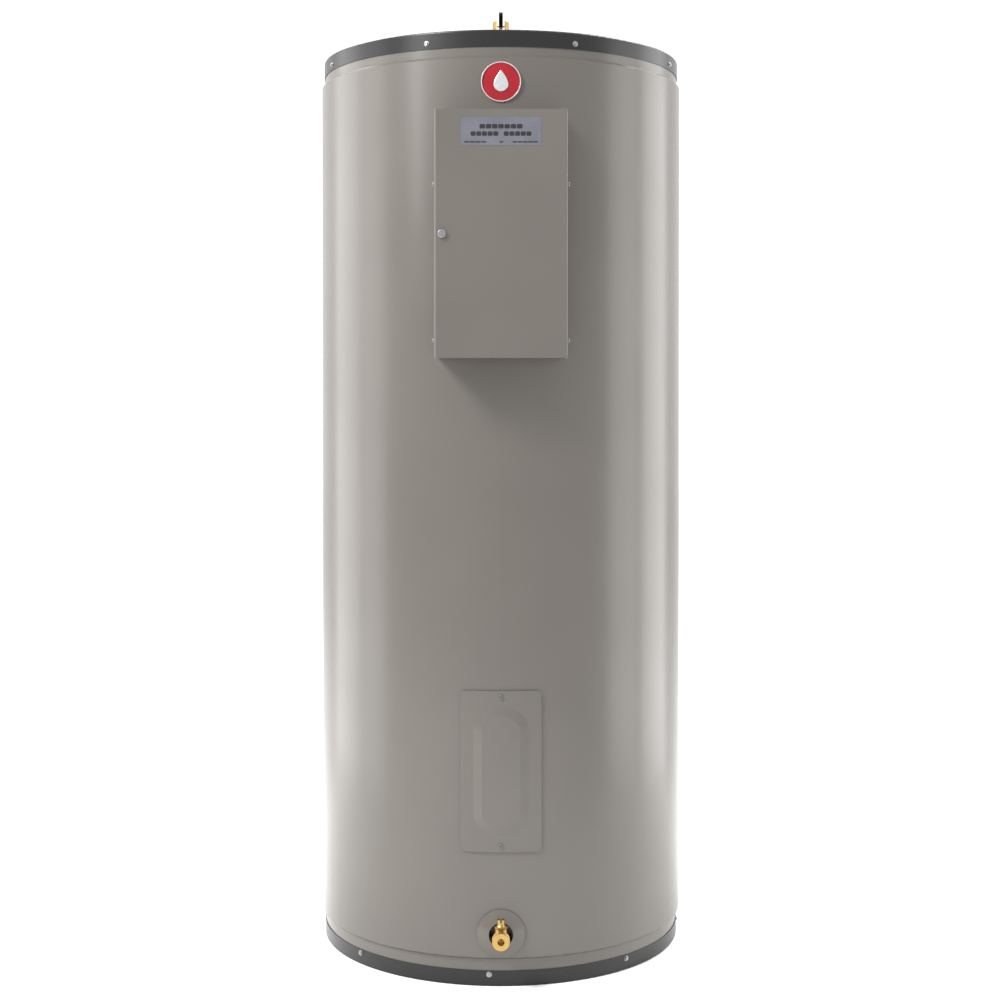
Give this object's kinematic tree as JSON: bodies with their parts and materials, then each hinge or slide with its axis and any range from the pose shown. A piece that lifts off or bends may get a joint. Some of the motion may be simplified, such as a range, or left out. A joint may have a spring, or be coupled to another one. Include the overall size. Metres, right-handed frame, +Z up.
{
  "type": "tank water heater",
  "caption": "Tall upright electric tank water heater with hinged control box, lower access cover, drain valve and top relief valve.",
  "frame": {"origin": "on the tank's axis, on the floor under the base pan", "axes": "+Z up along the tank, -Y towards the front with the control box, +X to the right as seen from the front"},
  "size_m": [0.622, 0.7021, 1.5973],
  "materials": {
    "black_paint": "satin",
    "zinc": "satin",
    "jacket_paint": "satin",
    "tank_steel": "satin",
    "board": "matte",
    "foam": "matte",
    "brass": "satin",
    "dark_steel": "satin",
    "magnesium": "matte",
    "white_plastic": "satin",
    "black_plastic": "satin",
    "dial_plastic": "satin",
    "red_plastic": "gloss",
    "rubber": "matte",
    "wire": "gloss",
    "badge_metal": "satin",
    "label_film": "satin"
  },
  "bodies": {
    "heater": {"anode_cap": "white_plastic", "anode_plug": "zinc", "anode_rod": "magnesium", "badge": "badge_metal", "base_pan": "black_paint", "base_pan_screws": "zinc", "cold_inlet_nipple": "tank_steel", "contactor": "black_plastic", "control_box": "jacket_paint", "control_box_chassis": "zinc", "control_box_screws": "jacket_paint", "control_wires": "wire", "dip_tube": "white_plastic", "door_pivot_pins": "jacket_paint", "drain_escutcheon": "jacket_paint", "drain_valve_body": "brass", "drain_valve_bonnet": "brass", "element_gaskets": "rubber", "element_sheaths": "tank_steel", "element_terminals": "white_plastic", "foam_dams": "foam", "foam_insulation": "foam", "high_limit_switch": "black_plastic", "hot_outlet_nipple": "tank_steel", "jacket": "jacket_paint", "knockout_plugs": "black_plastic", "lower_access_cover": "jacket_paint", "lower_cover_screws": "jacket_paint", "lower_element_plug": "tank_steel", "lower_insulation_pad": "foam", "lower_thermostat": "black_plastic", "pipe_grommets": "black_plastic", "relief_lever_pin": "zinc", "relief_valve_body": "brass", "relief_valve_spring": "zinc", "tank_bottom_head": "tank_steel", "tank_shell": "tank_steel", "tank_spuds": "tank_steel", "tank_support_board": "board", "tank_top_head": "tank_steel", "terminal_block": "black_plastic", "thermostat_brackets": "zinc", "top_pan": "black_paint", "top_pan_screws": "zinc", "upper_element_plug": "tank_steel", "upper_thermostat": "black_plastic"},
    "door": {"control_box_door": "jacket_paint", "rating_label": "label_film"},
    "latch": {"door_latch": "zinc", "door_latch_cam": "zinc"},
    "relief_lever": {"relief_test_lever": "dark_steel"},
    "relief_plunger": {"relief_valve_disc": "brass", "relief_valve_stem": "brass", "relief_probe": "brass"},
    "drain_plunger": {"drain_washer": "rubber"},
    "drain_spindle": {"drain_stem": "brass"},
    "upper_dial": {"upper_thermostat_dial": "dial_plastic"},
    "lower_dial": {"lower_thermostat_dial": "dial_plastic"},
    "reset_button": {"high_limit_reset_button": "red_plastic"},
    "armature": {"contactor_armature": "dial_plastic"}
  },
  "joints": [
    {"name": "door_hinge", "type": "hinge", "parent": "heater", "child": "door", "pos_m": [0.097, -0.38, 1.18], "axis": [0, 0, 1], "range_deg": [0, 110]},
    {"name": "latch_turn", "type": "hinge", "parent": "door", "child": "latch", "pos_m": [-0.09, -0.386, 1.18], "axis": [0, 1, 0], "range_deg": [0, 90]},
    {"name": "relief_lever_lift", "type": "hinge", "parent": "heater", "child": "relief_lever", "pos_m": [0, 0.0065, 1.5815], "axis": [-1, 0, 0], "range_deg": [0, 80], "stiffness_Nm_per_rad": 0.4, "springref_deg": -17.19},
    {"name": "relief_plunger_lift", "type": "slide", "parent": "heater", "child": "relief_plunger", "axis": [0, 0, 1], "range_m": [0, 0.00399], "deforming": ["relief_valve_spring"]},
    {"name": "drain_stem_lift", "type": "slide", "parent": "heater", "child": "drain_plunger", "axis": [0, 0, 1], "range_m": [0, 0.00239]},
    {"name": "drain_stem_turn", "type": "hinge", "parent": "drain_plunger", "child": "drain_spindle", "pos_m": [0, -0.333, 0.1], "axis": [0, 0, 1], "range_deg": [0, 540]},
    {"name": "upper_dial_turn", "type": "hinge", "parent": "heater", "child": "upper_dial", "pos_m": [0, -0.2865, 1.118], "axis": [0, -1, 0], "range_deg": [-60, 210]},
    {"name": "lower_dial_turn", "type": "hinge", "parent": "heater", "child": "lower_dial", "pos_m": [0, -0.2865, 0.335], "axis": [0, -1, 0], "range_deg": [-60, 210]},
    {"name": "reset_press", "type": "slide", "parent": "heater", "child": "reset_button", "axis": [0, 1, 0], "range_m": [0, 0.002], "stiffness_N_per_m": 400, "springref_m": -0.001},
    {"name": "armature_pull", "type": "slide", "parent": "heater", "child": "armature", "axis": [0, 1, 0], "range_m": [0, 0.003], "stiffness_N_per_m": 300, "springref_m": -0.001}
  ],
  "couplings": [
    {"joint": "relief_lever_lift", "follows": "relief_plunger_lift", "rad_per_m": 349.65},
    {"joint": "drain_stem_turn", "follows": "drain_stem_lift", "rad_per_m": 3937}
  ]
}
